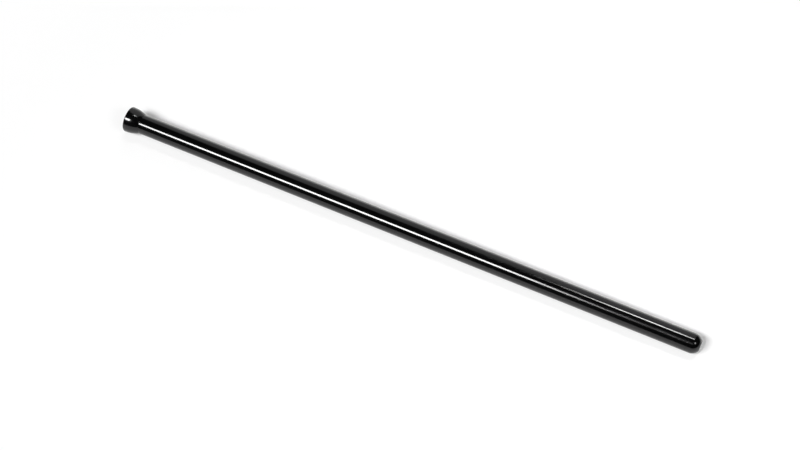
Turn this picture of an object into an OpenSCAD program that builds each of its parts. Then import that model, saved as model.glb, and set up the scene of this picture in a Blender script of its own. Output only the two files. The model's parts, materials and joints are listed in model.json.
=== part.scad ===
// Engine pushrod: a steel tube with a hardened socket pressed into one end and a hardened
// ball pressed into the other. It lies on its side, as it comes to rest on a bench, with the
// socket's crown and the ball's collar on the floor at z = 0. It runs along X, the ball at +X.
// Each piece is turned, so each is a profile (radius across, distance along the rod) revolved.

/* [Overall] */
// Length from the rim of the socket to the flat nose of the ball
overall_length = 297; // [200:1:400]

/* [Tube] */
// Outside diameter of the tube
tube_d = 9.525; // [8.5:0.025:11]
// Wall thickness of the tube
tube_wall = 2.108; // [1.2:0.002:2.6]
// Countersink at both mouths of the bore
bore_countersink = 0.4; // [0.1:0.05:0.6]

/* [Socket end] */
// Outside diameter of the socket at its rim
socket_d = 12.7; // [12.3:0.05:15]
// Length from the rim to the shoulder that seats on the tube
socket_head = 7.6; // [7:0.1:12]
// Rounding of the outer edge of the rim
rim_round = 0.6; // [0.2:0.05:0.8]
// Straight band between the rounded rim and the crowned side
socket_band = 0.5; // [0.2:0.1:1.5]
// Radius of the spherical seat
seat_r = 4.9; // [4.2:0.05:5]
// Depth of the centre of the seat below the rim
seat_centre = 1.2; // [0.6:0.1:1.6]
// Chamfer at the mouth of the seat
mouth_chamfer = 0.35; // [0.1:0.05:0.45]

/* [Ball end] */
// Diameter of the ball, a little more than its collar so that they meet at an edge
ball_d = 9.65; // [8.5:0.025:11]
// Length of the straight collar between the tube and the ball
collar_length = 2.6; // [1:0.05:5]
// Diameter of the flat on the nose of the ball
nose_flat_d = 4.9; // [1:0.1:6]

/* [Pressed joints] */
// Length of each shank inside the tube
shank_length = 11; // [6:0.5:20]
// Lead-in chamfer at the end of each shank
shank_lead = 0.5; // [0.2:0.05:0.8]
// Gap between shank and bore, on the radius
shank_gap = 0.01; // [0.005:0.005:0.03]
// Edge break on both sides of each seam
seam_break = 0.06; // [0.05:0.01:0.2]

/* [Hidden] */
$fn = 96;

tube_r = tube_d / 2;
bore_r = tube_r - tube_wall;
socket_r = socket_d / 2;
ball_r = ball_d / 2;
nose_flat_r = nose_flat_d / 2;
shank_r = bore_r - shank_gap;
// The collar is flush with the tube, or with the ball where that is thinner
collar_r = min(ball_r, tube_r);

// Depth of the ball's cap, from its flat nose to the edge where the collar starts
nose_depth = sqrt(ball_r ^ 2 - nose_flat_r ^ 2);
cap_depth = nose_depth - sqrt(ball_r ^ 2 - collar_r ^ 2);
ball_head = cap_depth + collar_length;

// Places along the rod, from the rim of the socket
crown_start = rim_round + socket_band;
collar_edge = overall_length - cap_depth;
ball_seat = overall_length - ball_head;

// The crowned side is an arc that leaves the band tangentially and comes down to the tube. Its
// radius is kept to a tenth of a micron, so that band and arc meet at exactly one radius
crown_drop = socket_r - tube_r;
crown_length = socket_head - crown_start;
arc_step = 0.0001;
crown_arc_r = round((crown_length ^ 2 + crown_drop ^ 2) / (2 * crown_drop) / arc_step) * arc_step;
crown_arc_centre = socket_r - crown_arc_r;

// The rod leans until the crown and the collar, or the tube's end if thicker, touch one floor
contact_at = ball_r < tube_r ? ball_seat - seam_break : collar_edge;
rest_span = contact_at - crown_start;
rest_drop = tube_r - crown_arc_centre;
rest_tilt = asin(crown_arc_r / norm([rest_span, rest_drop])) - atan2(rest_drop, rest_span);
rim_height = contact_at * sin(rest_tilt) + tube_r * cos(rest_tilt);
// The rim and the nose lean out at their lower and upper edges, which the centring allows for
rim_flat_r = socket_r - rim_round;
rim_x = ((rim_flat_r - nose_flat_r) * sin(rest_tilt) - overall_length * cos(rest_tilt)) / 2;

// Turns a piece drawn upright, rim at the origin, into the rod's place on the floor
module lay_down() {
    translate([rim_x, 0, rim_height])
        rotate([0, 90 + rest_tilt, 0])
            children();
}

// An end piece, turned: the half section of its head from the tip upwards, then its shank
module end_piece(head) {
    rotate_extrude() {
        children();
        translate([0, head])
            polygon([
                [0, 0],
                [shank_r, 0],
                [shank_r, shank_length - shank_lead],
                [shank_r - shank_lead, shank_length],
                [0, shank_length]
            ]);
    }
}

// Half section of the socket's outside: rounded rim, band and crowned side
module socket_outside() {
    square([rim_flat_r, rim_round]);
    intersection() {
        translate([rim_flat_r, rim_round]) circle(rim_round);
        square([socket_r, rim_round]);
    }
    translate([0, rim_round]) square([socket_r, socket_band]);
    intersection() {
        translate([crown_arc_centre, crown_start]) circle(crown_arc_r);
        translate([0, crown_start]) square([socket_r, crown_length]);
    }
}

// Half section of the seat: chamfered mouth, short straight wall and spherical bottom
module seat_section() {
    polygon([
        [0, 0],
        [seat_r + mouth_chamfer, 0],
        [seat_r, mouth_chamfer],
        [seat_r, seat_centre],
        [0, seat_centre]
    ]);
    intersection() {
        translate([0, seat_centre]) circle(seat_r);
        translate([0, seat_centre]) square(seat_r);
    }
}

// Half section of the ball and its collar, from the flat nose to the shoulder: a straight blank
// whose end is turned to the ball
module ball_section() {
    intersection() {
        polygon([
            [0, 0],
            [collar_r, 0],
            [collar_r, ball_head - seam_break],
            [collar_r - seam_break, ball_head],
            [0, ball_head]
        ]);
        union() {
            translate([0, nose_depth]) circle(ball_r);
            translate([0, nose_depth]) square([ball_r, ball_head]);
        }
    }
}

module tube() {
    color("#1b1b1d")
        lay_down()
            rotate_extrude()
                polygon([
                    [bore_r + bore_countersink, socket_head],
                    [tube_r - seam_break, socket_head],
                    [tube_r, socket_head + seam_break],
                    [tube_r, ball_seat - seam_break],
                    [tube_r - seam_break, ball_seat],
                    [bore_r + bore_countersink, ball_seat],
                    [bore_r, ball_seat - bore_countersink],
                    [bore_r, socket_head + bore_countersink]
                ]);
}

module socket_end() {
    color("#1b1b1d")
        lay_down()
            end_piece(socket_head)
                difference() {
                    socket_outside();
                    seat_section();
                }
}

module ball_end() {
    color("#1b1b1d")
        lay_down()
            translate([0, 0, overall_length])
                rotate([180, 0, 0])
                    end_piece(ball_head)
                        ball_section();
}

tube();
socket_end();
ball_end();
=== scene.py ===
"""The looks of an engine pushrod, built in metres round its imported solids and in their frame.

The tube and the two ends that are pressed into it are turned by one Geometry Nodes tree from
half sections that repeat the solids' sizes, with the small edge rounds of polished steel.
"""

import json
import math

import bpy
from mathutils import Matrix, Vector


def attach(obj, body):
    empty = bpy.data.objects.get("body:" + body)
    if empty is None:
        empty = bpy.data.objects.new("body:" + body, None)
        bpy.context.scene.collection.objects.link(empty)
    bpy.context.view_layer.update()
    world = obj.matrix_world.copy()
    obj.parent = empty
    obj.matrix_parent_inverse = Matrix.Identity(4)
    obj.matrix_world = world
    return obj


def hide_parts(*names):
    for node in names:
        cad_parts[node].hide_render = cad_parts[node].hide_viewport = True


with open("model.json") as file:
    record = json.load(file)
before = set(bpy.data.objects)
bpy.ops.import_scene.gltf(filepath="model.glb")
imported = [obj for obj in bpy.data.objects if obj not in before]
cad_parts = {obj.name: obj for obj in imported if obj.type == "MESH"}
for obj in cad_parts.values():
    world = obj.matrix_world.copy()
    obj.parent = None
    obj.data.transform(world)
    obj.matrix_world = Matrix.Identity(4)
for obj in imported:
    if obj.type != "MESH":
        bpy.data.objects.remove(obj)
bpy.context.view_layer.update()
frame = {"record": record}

scene = bpy.context.scene
scene.view_settings.view_transform = "Standard"

MM = 0.001
IMAGE_WIDTH = 800

# Sizes of the rod in millimetres, as its solids have them
SOCKET_R = 6.35
SOCKET_HEAD = 7.6
RIM_ROUND = 0.6
SOCKET_BAND = 0.5
SEAT_R = 4.9
SEAT_CENTRE = 1.2
MOUTH_CHAMFER = 0.35
BALL_R = 4.825
COLLAR_LENGTH = 2.6
NOSE_FLAT_R = 2.45
TUBE_WALL = 2.108
BORE_COUNTERSINK = 0.4
SHANK_LENGTH = 11.0
SHANK_LEAD = 0.5
SHANK_GAP = 0.01
SEAM_BREAK = 0.06

# Small rounds that polishing leaves on the edges, in millimetres
EDGE_ROUND = 0.03
SEAM_ROUND = 0.06
NOSE_ROUND = 0.14
# How close to each end of a straight stretch a point is set, so that the stretch shades flat
HOLD = 0.04

# Steps along each curved stretch of a section, and facets round the rod
SEAT_STEPS = 32
RIM_STEPS = 12
CROWN_STEPS = 32
BALL_STEPS = 36
CORNER_STEPS = 4
FACETS_ROUND = 192
WELD_DISTANCE = 1e-6

# The rod's place in the frame, from the mounts at its two ends
mounts = {mount["name"]: mount for mount in frame["record"]["mounts"]}
seat_place = Vector(mounts["rocker_seat"]["pos_m"])
ball_place = Vector(mounts["tappet_ball"]["pos_m"])
rod_axis = (ball_place - seat_place).normalized()
rim_place = seat_place - rod_axis * SEAT_CENTRE * MM
lean = math.atan2(-rod_axis.z, rod_axis.x)

# Places along the rod from the socket's rim, and radii, in millimetres
tube_r = mounts["tube_guide"]["dims"]["r_mm"]
bore_r = tube_r - TUBE_WALL
shank_r = bore_r - SHANK_GAP
ball_centre = (ball_place - rim_place).length / MM
ball_edge = ball_centre + math.sqrt(BALL_R**2 - tube_r**2)
ball_seat = ball_edge - COLLAR_LENGTH
nose = ball_centre + math.sqrt(BALL_R**2 - NOSE_FLAT_R**2)
rim_flat_r = SOCKET_R - RIM_ROUND
crown_start = RIM_ROUND + SOCKET_BAND
crown_length = SOCKET_HEAD - crown_start
crown_drop = SOCKET_R - tube_r
crown_arc_r = (crown_length**2 + crown_drop**2) / (2 * crown_drop)


# Half sections: lists of (distance along the rod, radius)

def arc(centre, radius, first, last, steps):
    """Points of an arc; 0 degrees is straight out from the rod's axis, 90 along it to the ball."""
    turns = [math.radians(first + (last - first) * i / steps) for i in range(steps + 1)]
    return [(centre[0] + radius * math.sin(t), centre[1] + radius * math.cos(t)) for t in turns]


def straight(section, end):
    """Carries the section straight on to a point; a long stretch is held close to both its ends."""
    start = Vector(section[-1])
    run = Vector(end) - start
    step = run.normalized() * HOLD
    if run.length > 4 * HOLD:
        if start.y > 0:
            section.append(tuple(start + step))
        if end[1] > 0:
            section.append(tuple(start + run - step))
    section.append(tuple(end))


def corner(section, point, following, radius):
    """Carries the section straight to a corner and round it, to head for the following point."""
    point = Vector(point)
    back = (Vector(section[-1]) - point).normalized()
    on = (Vector(following) - point).normalized()
    half = back.angle(on) / 2
    centre = point + (back + on).normalized() * radius / math.sin(half)
    reach = radius / math.tan(half)
    straight(section, point + back * reach)
    first = point + back * reach - centre
    last = point + on * reach - centre
    sweep = math.atan2(first.x * last.y - first.y * last.x, first.dot(last))
    for i in range(1, CORNER_STEPS + 1):
        section.append(tuple(centre + Matrix.Rotation(sweep * i / CORNER_STEPS, 2) @ first))


def socket_section():
    """From the bottom of the spherical seat over the rim and the crowned side to the shank's end."""
    shank_end = SOCKET_HEAD + SHANK_LENGTH
    mouth_r = SEAT_R + MOUTH_CHAMFER
    section = arc((SEAT_CENTRE, 0), SEAT_R, 90, 0, SEAT_STEPS)
    corner(section, (MOUTH_CHAMFER, SEAT_R), (0, mouth_r), EDGE_ROUND)
    corner(section, (0, mouth_r), (0, rim_flat_r), EDGE_ROUND)
    straight(section, (0, rim_flat_r))
    section += arc((RIM_ROUND, rim_flat_r), RIM_ROUND, -90, 0, RIM_STEPS)[1:]
    straight(section, (crown_start, SOCKET_R))
    crown_centre = (crown_start, SOCKET_R - crown_arc_r)
    crown_turn = math.degrees(math.asin((crown_length - 2 * SEAM_ROUND) / crown_arc_r))
    section += arc(crown_centre, crown_arc_r, 0, crown_turn, CROWN_STEPS)[1:]
    corner(section, (SOCKET_HEAD, tube_r), (SOCKET_HEAD, shank_r), SEAM_ROUND)
    straight(section, (SOCKET_HEAD, shank_r))
    straight(section, (shank_end - SHANK_LEAD, shank_r))
    straight(section, (shank_end, shank_r - SHANK_LEAD))
    straight(section, (shank_end, 0))
    return section


def ball_section():
    """From the shank's end over the collar and the ball to the middle of the flat nose."""
    shank_end = ball_seat - SHANK_LENGTH
    seam_end = ball_seat + SEAM_BREAK
    section = [(shank_end, 0)]
    straight(section, (shank_end, shank_r - SHANK_LEAD))
    straight(section, (shank_end + SHANK_LEAD, shank_r))
    straight(section, (ball_seat, shank_r))
    corner(section, (ball_seat, tube_r - SEAM_BREAK), (seam_end, tube_r), EDGE_ROUND)
    corner(section, (seam_end, tube_r), (ball_edge, tube_r), SEAM_ROUND)
    straight(section, (ball_edge - EDGE_ROUND, tube_r))
    edge_turn = math.degrees(math.acos(tube_r / BALL_R) + EDGE_ROUND / BALL_R)
    nose_turn = math.degrees(math.acos((NOSE_FLAT_R + NOSE_ROUND) / BALL_R))
    section += arc((ball_centre, 0), BALL_R, edge_turn, nose_turn, BALL_STEPS)
    corner(section, (nose, NOSE_FLAT_R), (nose, 0), NOSE_ROUND / 2)
    straight(section, (nose, 0))
    return section


def tube_section():
    """Once round the wall: socket end, outside, ball end and bore."""
    start = SOCKET_HEAD
    end = ball_seat
    outer_r = tube_r - SEAM_BREAK
    inner_r = bore_r + BORE_COUNTERSINK
    section = [(start, inner_r)]
    corner(section, (start, outer_r), (start + SEAM_BREAK, tube_r), EDGE_ROUND)
    corner(section, (start + SEAM_BREAK, tube_r), (end, tube_r), SEAM_ROUND)
    corner(section, (end - SEAM_BREAK, tube_r), (end, outer_r), SEAM_ROUND)
    corner(section, (end, outer_r), (end, inner_r), EDGE_ROUND)
    straight(section, (end, inner_r))
    straight(section, (end - BORE_COUNTERSINK, bore_r))
    straight(section, (start + BORE_COUNTERSINK, bore_r))
    straight(section, (start, inner_r))
    return section


# Node trees

def add(tree, kind, sources=(), **settings):
    """Adds a node with its settings; sources name its input sockets and what feeds or sets them."""
    node = tree.nodes.new(kind)
    for name, value in settings.items():
        setattr(node, name, value)
    for socket, source in dict(sources).items():
        if isinstance(source, bpy.types.NodeSocket):
            tree.links.new(source, node.inputs[socket])
        else:
            node.inputs[socket].default_value = source
    return node


def math_node(tree, operation, first, second=0.0):
    """A number worked out from one or two others."""
    return add(tree, "ShaderNodeMath", {0: first, 1: second}, operation=operation).outputs[0]


def turning_tree():
    """The Geometry Nodes tree that turns a half section into a closed piece in the rod's place."""
    tree = bpy.data.node_groups.new("turned_piece", "GeometryNodeTree")
    sockets = (
        ("Half section", "INPUT", "NodeSocketGeometry"),
        ("Facets round", "INPUT", "NodeSocketInt"),
        ("Weld distance", "INPUT", "NodeSocketFloat"),
        ("Rim place", "INPUT", "NodeSocketVector"),
        ("Lean", "INPUT", "NodeSocketFloat"),
        ("Finish", "INPUT", "NodeSocketMaterial"),
        ("Turned piece", "OUTPUT", "NodeSocketGeometry"),
    )
    for name, way, kind in sockets:
        tree.interface.new_socket(name, in_out=way, socket_type=kind)
    sizes = tree.nodes.new("NodeGroupInput").outputs
    section = sizes["Half section"]

    # A unit sheet: across it the points of the section, up it one whole turn
    counts = add(tree, "GeometryNodeAttributeDomainSize", {"Geometry": section}).outputs
    points = counts["Point Count"]
    rows = math_node(tree, "ADD", sizes["Facets round"], 1)
    sheet = add(
        tree,
        "GeometryNodeMeshGrid",
        {"Size X": 1.0, "Size Y": 1.0, "Vertices X": points, "Vertices Y": rows},
    )
    place = add(tree, "GeometryNodeInputPosition").outputs[0]
    across = add(tree, "ShaderNodeSeparateXYZ", {0: place}).outputs
    last_point = math_node(tree, "SUBTRACT", points, 1)
    along = math_node(tree, "MULTIPLY", math_node(tree, "ADD", across["X"], 0.5), last_point)
    angle = math_node(tree, "MULTIPLY", math_node(tree, "ADD", across["Y"], 0.5), 2 * math.pi)

    # Each column of the sheet goes to its point of the section, at the turn of its row
    sample = add(
        tree,
        "GeometryNodeSampleIndex",
        {"Geometry": section, "Value": place, "Index": math_node(tree, "ROUND", along)},
        data_type="FLOAT_VECTOR",
        domain="POINT",
    )
    drawn = add(tree, "ShaderNodeSeparateXYZ", {0: sample.outputs[0]}).outputs
    turned = add(
        tree,
        "ShaderNodeCombineXYZ",
        {
            "X": drawn["X"],
            "Y": math_node(tree, "MULTIPLY", drawn["Y"], math_node(tree, "SINE", angle)),
            "Z": math_node(tree, "MULTIPLY", drawn["Y"], math_node(tree, "COSINE", angle)),
        },
    )
    shaped = add(
        tree,
        "GeometryNodeSetPosition",
        {"Geometry": sheet.outputs["Mesh"], "Position": turned.outputs[0]},
    )
    welded = add(
        tree,
        "GeometryNodeMergeByDistance",
        {"Geometry": shaped.outputs[0], "Distance": sizes["Weld distance"]},
    )
    smooth = add(tree, "GeometryNodeSetShadeSmooth", {"Geometry": welded.outputs[0]})
    turn = add(tree, "ShaderNodeCombineXYZ", {"Y": sizes["Lean"]})
    laid = add(
        tree,
        "GeometryNodeTransform",
        {
            "Geometry": smooth.outputs[0],
            "Translation": sizes["Rim place"],
            "Rotation": turn.outputs[0],
        },
    )
    real = add(tree, "GeometryNodeRealizeInstances", {"Geometry": laid.outputs[0]})
    finished = add(
        tree,
        "GeometryNodeSetMaterial",
        {"Geometry": real.outputs[0], "Material": sizes["Finish"]},
    )
    add(tree, "NodeGroupOutput", {0: finished.outputs[0]})
    return tree


def turned_piece(name, section, tree, finish):
    """Turns one half section and gives the piece as a plain mesh at the origin."""
    drawing = bpy.data.meshes.new(name + "_section")
    steps = [(i, i + 1) for i in range(len(section) - 1)]
    drawing.from_pydata([(u * MM, r * MM, 0) for u, r in section], steps, [])
    blank = bpy.data.objects.new(name + "_blank", drawing)
    scene.collection.objects.link(blank)
    lathe = blank.modifiers.new("lathe", "NODES")
    lathe.node_group = tree
    settings = {
        "Facets round": FACETS_ROUND,
        "Weld distance": WELD_DISTANCE,
        "Rim place": rim_place,
        "Lean": lean,
        "Finish": finish,
    }
    for item in tree.interface.items_tree:
        if item.name in settings:
            lathe[item.identifier] = settings[item.name]
    graph = bpy.context.evaluated_depsgraph_get()
    mesh = bpy.data.meshes.new_from_object(blank.evaluated_get(graph))
    mesh.name = name
    bpy.data.objects.remove(blank)
    bpy.data.meshes.remove(drawing)
    piece = bpy.data.objects.new(name, mesh)
    scene.collection.objects.link(piece)
    return piece


# Finishes

FINISH_IOR = 1.5
# A ring's place along the rod also moves with the radius, so that flats get rings too
RING_ON_FLATS = 1.3
# How fast the rings change round the rod, for each millimetre
RING_WANDER = 0.35
RING_STRENGTH = 0.25
# How fast scuffs and smears change along and across the rod, for each millimetre
SCUFF_SCALE = (0.06, 7.0, 7.0)
SMEAR_SCALE = (0.07, 0.25, 0.25)
# The noise at which a scuff or a smear begins and at which it is full
SCUFF_RANGE = (0.66, 0.74)
SMEAR_RANGE = (0.3, 0.75)
SCUFF_DULLING = 0.06
SCUFF_DEPTH = 0.3
# How much smears, rings and scuffs each do to lighten the black, and from which sum to which
SMEAR_TONE = 0.6
RING_TONE = 0.4
SCUFF_TONE = 0.25
TONE_RANGE = (0.3, 0.8)
# The palest and darkest tone of each black, and the pitch and depth of its rings in millimetres
DRAWN_STEEL = {
    "pale": (0.0022, 0.0022, 0.0023, 1),
    "dark": (0.0009, 0.0009, 0.001, 1),
    "ring_pitch": 0.16,
    "ring_depth": 0.02,
}
TURNED_STEEL = {
    "pale": (0.0025, 0.0025, 0.0026, 1),
    "dark": (0.001, 0.001, 0.0011, 1),
    "ring_pitch": 0.1,
    "ring_depth": 0.012,
}
# Roughness where the finish is clean and where it is smeared
POLISHED = (0.09, 0.13)
HANDLED = (0.11, 0.16)


def noise(tree, vector, detail, roughness=0.5):
    """Soft noise with features about one unit across."""
    sources = {"Vector": vector, "Scale": 1.0, "Detail": detail, "Roughness": roughness}
    return add(tree, "ShaderNodeTexNoise", sources).outputs[0]


def scaled(tree, vector, factors):
    """A vector with each part scaled by its own number."""
    sources = {0: vector, 1: factors}
    return add(tree, "ShaderNodeVectorMath", sources, operation="MULTIPLY").outputs[0]


def length_of(tree, vector):
    """The length of a vector."""
    return add(tree, "ShaderNodeVectorMath", {0: vector}, operation="LENGTH").outputs["Value"]


def spread(tree, value, low, high, to_low, to_high):
    """Carries a value from one range to another, held at both ends."""
    sources = {
        "Value": value,
        "From Min": low,
        "From Max": high,
        "To Min": to_low,
        "To Max": to_high,
    }
    return add(tree, "ShaderNodeMapRange", sources).outputs["Result"]


def black_finish(name, pale, dark, ring_pitch, ring_depth, gloss):
    """A gloss black finish over ground steel: fine rings round the rod, long scuffs and smears."""
    material = bpy.data.materials.new(name)
    material.use_nodes = True
    tree = material.node_tree
    shader = tree.nodes["Principled BSDF"]
    shader.inputs["IOR"].default_value = FINISH_IOR

    # The rod's own millimetres: X along it from the rim, Y and Z across it
    rod_space = add(
        tree,
        "ShaderNodeMapping",
        {
            "Vector": add(tree, "ShaderNodeTexCoord").outputs["Object"],
            "Location": rim_place,
            "Rotation": (0, lean, 0),
            "Scale": (MM, MM, MM),
        },
        vector_type="TEXTURE",
    ).outputs[0]
    parts = add(tree, "ShaderNodeSeparateXYZ", {0: rod_space}).outputs
    radius = length_of(tree, scaled(tree, rod_space, (0, 1, 1)))

    # Rings of the grinding wheel and the lathe tool, on the sides and on flats alike
    flat_shift = math_node(tree, "MULTIPLY", radius, RING_ON_FLATS)
    ring_place = math_node(tree, "ADD", parts["X"], flat_shift)
    ring_space = add(
        tree,
        "ShaderNodeCombineXYZ",
        {
            "X": math_node(tree, "DIVIDE", ring_place, ring_pitch),
            "Y": math_node(tree, "MULTIPLY", parts["Y"], RING_WANDER),
            "Z": math_node(tree, "MULTIPLY", parts["Z"], RING_WANDER),
        },
    ).outputs[0]
    rings = noise(tree, ring_space, detail=3.0, roughness=0.6)

    # Hair scuffs along the rod from handling, and soft smears of oil
    scuff_noise = noise(tree, scaled(tree, rod_space, SCUFF_SCALE), detail=1.0)
    scuffs = spread(tree, scuff_noise, *SCUFF_RANGE, 0.0, 1.0)
    smears = noise(tree, scaled(tree, rod_space, SMEAR_SCALE), detail=4.0, roughness=0.6)

    # The black is a little paler where they are
    smear_tone = math_node(tree, "MULTIPLY", smears, SMEAR_TONE)
    ring_tone = math_node(tree, "MULTIPLY", rings, RING_TONE)
    scuff_tone = math_node(tree, "MULTIPLY", scuffs, SCUFF_TONE)
    tone = math_node(tree, "ADD", math_node(tree, "ADD", smear_tone, ring_tone), scuff_tone)
    colour = add(
        tree,
        "ShaderNodeMix",
        {"Factor": spread(tree, tone, *TONE_RANGE, 0.0, 1.0), "A": dark, "B": pale},
        data_type="RGBA",
    )
    tree.links.new(colour.outputs["Result"], shader.inputs["Base Color"])

    # Smears and scuffs dull the gloss, and rings and scuffs are felt in the surface
    smear_dulling = spread(tree, smears, *SMEAR_RANGE, *gloss)
    scuff_dulling = math_node(tree, "MULTIPLY", scuffs, SCUFF_DULLING)
    dull = math_node(tree, "ADD", smear_dulling, scuff_dulling)
    tree.links.new(dull, shader.inputs["Roughness"])
    height = math_node(tree, "SUBTRACT", rings, math_node(tree, "MULTIPLY", scuffs, SCUFF_DEPTH))
    relief = add(
        tree,
        "ShaderNodeBump",
        {"Height": height, "Strength": RING_STRENGTH, "Distance": ring_depth * MM},
    )
    tree.links.new(relief.outputs[0], shader.inputs["Normal"])
    return material


# Camera at the photograph's angle, in degrees and metres, with its focal length in pixels of the
# image and its sensor in millimetres

CAMERA_AZIMUTH = 24.7
CAMERA_ELEVATION = 59.09
CAMERA_DISTANCE = 0.7968
CAMERA_AIM = Vector((-0.0022, 0.00094, 0.0055))
FOCAL_PIXELS = 1682.7
SENSOR_WIDTH = 36.0
CLIP_START = 0.01


def make_camera():
    """A camera with no shift, level, that looks down along the rod from the ball's side."""
    azimuth = math.radians(CAMERA_AZIMUTH)
    elevation = math.radians(CAMERA_ELEVATION)
    flat = math.cos(elevation)
    back = Vector((math.sin(azimuth) * flat, -math.cos(azimuth) * flat, math.sin(elevation)))
    data = bpy.data.cameras.new("photo_camera")
    data.sensor_fit = "HORIZONTAL"
    data.sensor_width = SENSOR_WIDTH
    data.lens = SENSOR_WIDTH * FOCAL_PIXELS / IMAGE_WIDTH
    data.clip_start = CLIP_START
    camera = bpy.data.objects.new("photo_camera", data)
    camera.location = CAMERA_AIM + back * CAMERA_DISTANCE
    camera.rotation_euler = back.to_track_quat("Z", "Y").to_euler()
    scene.collection.objects.link(camera)
    scene.camera = camera


# Studio: white floor, pale wall behind, dark room. Sizes and places in metres

FLOOR_SIZE = 20.0
FLOOR_PAINT = (0.94, 0.94, 0.94, 1)
FLOOR_WHITE = (1, 1, 1, 1)
# The share of even white in what shows of the floor round the rod, how far from the rod's middle
# that share begins to grow, and where it is whole
FLOOR_SHARE = 0.18
NEAR_FLOOR = 0.17
FAR_FLOOR = 0.25
WALL_DISTANCE = 3.2
WALL_HEIGHT = 5.3
WALL_LEFT = -1.9
WALL_RIGHT = 1.0
WALL_PAINT = (0.5, 0.5, 0.5, 1)
WALL_WHITE = (0.7, 0.7, 0.7, 1)
ROOM_GREY = (0.015, 0.015, 0.015, 1)


def seen_by_eye(tree):
    """1 for rays that show a surface to the camera, straight or through gloss and glass."""
    path = add(tree, "ShaderNodeLightPath").outputs
    either = math_node(tree, "MAXIMUM", path["Is Camera Ray"], path["Is Glossy Ray"])
    return math_node(tree, "MAXIMUM", either, path["Is Transmission Ray"])


def studio_white(name, paint, white, near_share):
    """Paint that shows as an even white by a share, which grows to the whole far from the rod."""
    material = bpy.data.materials.new(name)
    material.use_nodes = True
    tree = material.node_tree
    tree.nodes.clear()
    painted = add(tree, "ShaderNodeBsdfDiffuse", {"Color": paint})
    even = add(tree, "ShaderNodeEmission", {"Color": white, "Strength": 1.0})
    away = length_of(tree, add(tree, "ShaderNodeTexCoord").outputs["Object"])
    share = spread(tree, away, NEAR_FLOOR, FAR_FLOOR, near_share, 1.0)
    shown = math_node(tree, "MULTIPLY", seen_by_eye(tree), share)
    mixed = add(
        tree,
        "ShaderNodeMixShader",
        {0: shown, 1: painted.outputs[0], 2: even.outputs[0]},
    )
    add(tree, "ShaderNodeOutputMaterial", {"Surface": mixed.outputs[0]})
    return material


def stage_sheet(name, corners, material):
    """A flat sheet of the studio, which isn't part of the object."""
    mesh = bpy.data.meshes.new(name)
    mesh.from_pydata(corners, [], [(0, 1, 2, 3)])
    mesh.materials.append(material)
    sheet = bpy.data.objects.new(name, mesh)
    scene.collection.objects.link(sheet)


def make_studio():
    """The floor that the rod lies on, the wall behind it and the dark room round them."""
    half = FLOOR_SIZE / 2
    floor_corners = [(-half, -half, 0), (half, -half, 0), (half, half, 0), (-half, half, 0)]
    floor_white = studio_white("floor_white", FLOOR_PAINT, FLOOR_WHITE, FLOOR_SHARE)
    stage_sheet("floor", floor_corners, floor_white)
    wall_corners = [
        (WALL_LEFT, WALL_DISTANCE, 0),
        (WALL_RIGHT, WALL_DISTANCE, 0),
        (WALL_RIGHT, WALL_DISTANCE, WALL_HEIGHT),
        (WALL_LEFT, WALL_DISTANCE, WALL_HEIGHT),
    ]
    wall_white = studio_white("wall_white", WALL_PAINT, WALL_WHITE, 1.0)
    stage_sheet("wall", wall_corners, wall_white)
    world = bpy.data.worlds.new("dark_room")
    world.use_nodes = True
    world.node_tree.nodes["Background"].inputs["Color"].default_value = ROOM_GREY
    scene.world = world


# Lights: strips along the rod and one small square. Each strip has its tilt from straight above
# towards the camera's side and its width as seen from the rod, in degrees, its distance in metres,
# its beam in degrees, and the place along X that a narrow beam is aimed at

FRONT_STRIP = {"tilt": 36.0, "distance": 8.0, "width_angle": 14.0}
BACK_STRIP = {"tilt": -20.2, "distance": 2.7, "width_angle": 9.0, "beam": 25.0, "aim": 0.15}
BACK_FILL = {"tilt": -23.0, "distance": 2.7, "width_angle": 9.0, "beam": 13.0, "aim": 0.23}
# The lengths of each strip: name, from where to where along X in metres, radiance
STRIP_LENGTHS = (
    (FRONT_STRIP, "front_strip_far", -6.5, -3.25, 18.0),
    (FRONT_STRIP, "front_strip", -3.25, -0.86, 35.5),
    (FRONT_STRIP, "front_strip_end", -0.86, 0.15, 0.7),
    (BACK_STRIP, "back_strip", -0.112, 0.066, 40.5),
    (BACK_STRIP, "back_strip_end", 0.066, 0.25, 5.0),
    (BACK_FILL, "back_fill", 0.28, 0.78, 28.0),
)
SIDE_DIRECTION = Vector((0.656, -0.208, 0.726)).normalized()
SIDE_DISTANCE = 2.0
SIDE_SIZE = 0.5
SIDE_RADIANCE = 7.2
OPEN_BEAM = 180.0


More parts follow.
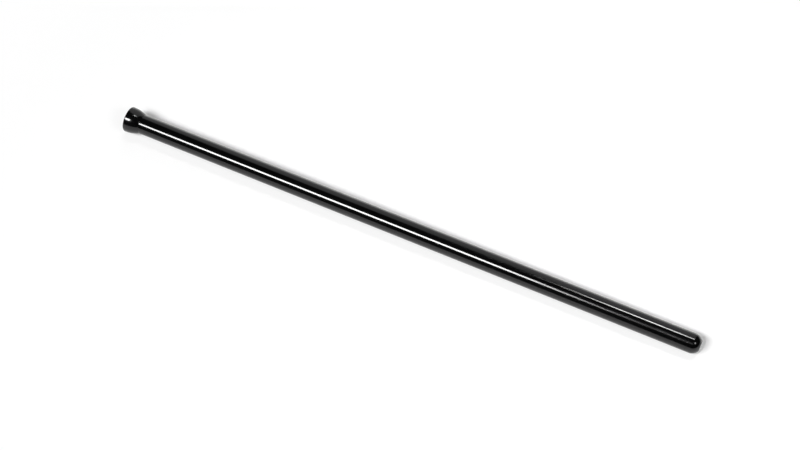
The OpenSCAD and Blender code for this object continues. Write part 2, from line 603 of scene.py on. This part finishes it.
def area_light(name, length, width, radiance, beam, place, turn):
    """A soft rectangular light, its power worked out from its radiance and its beam."""
    half_beam = math.radians(beam) / 2
    lamp = bpy.data.lights.new(name, "AREA")
    lamp.shape = "RECTANGLE"
    lamp.size = length
    lamp.size_y = width
    lamp.spread = 2 * half_beam
    lamp.energy = radiance * math.pi * length * width * (1 - half_beam / math.tan(half_beam))
    light = bpy.data.objects.new(name, lamp)
    light.location = place
    light.rotation_euler = turn
    scene.collection.objects.link(light)


def strip_light(name, x_from, x_to, radiance, tilt, distance, width_angle, beam=OPEN_BEAM, aim=None):
    """One length of a strip; without an aim it faces straight across the rod."""
    width = 2 * distance * math.tan(math.radians(width_angle) / 2)
    middle = (x_from + x_to) / 2
    turn = math.radians(tilt)
    swing = 0.0 if aim is None else math.atan2(middle - aim, distance)
    place = (middle, -distance * math.sin(turn), distance * math.cos(turn))
    area_light(name, x_to - x_from, width, radiance, beam, place, (turn, swing, 0))


def light_studio():
    """A long front strip and a short back one, each with a dimmer length, a fill and a side light."""
    for strip, name, x_from, x_to, radiance in STRIP_LENGTHS:
        strip_light(name, x_from, x_to, radiance, **strip)
    place = SIDE_DIRECTION * SIDE_DISTANCE
    turn = SIDE_DIRECTION.to_track_quat("Z", "Y").to_euler()
    area_light("side_light", SIDE_SIZE, SIDE_SIZE, SIDE_RADIANCE, OPEN_BEAM, place, turn)


make_camera()
make_studio()
light_studio()

tube_finish = black_finish("black_tube", gloss=POLISHED, **DRAWN_STEEL)
socket_finish = black_finish("black_socket", gloss=HANDLED, **TURNED_STEEL)
ball_finish = black_finish("black_ball", gloss=POLISHED, **TURNED_STEEL)

lathe_tree = turning_tree()
turned_pieces = (
    ("rod_tube", tube_section(), tube_finish, "tube", "tube_finish"),
    ("rod_socket", socket_section(), socket_finish, "socket_end", "end_finish"),
    ("rod_ball", ball_section(), ball_finish, "ball_end", "end_finish"),
)
for name, section, finish, node, slot in turned_pieces:
    piece = turned_piece(name, section, lathe_tree, finish)
    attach(piece, "root")
    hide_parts(node)
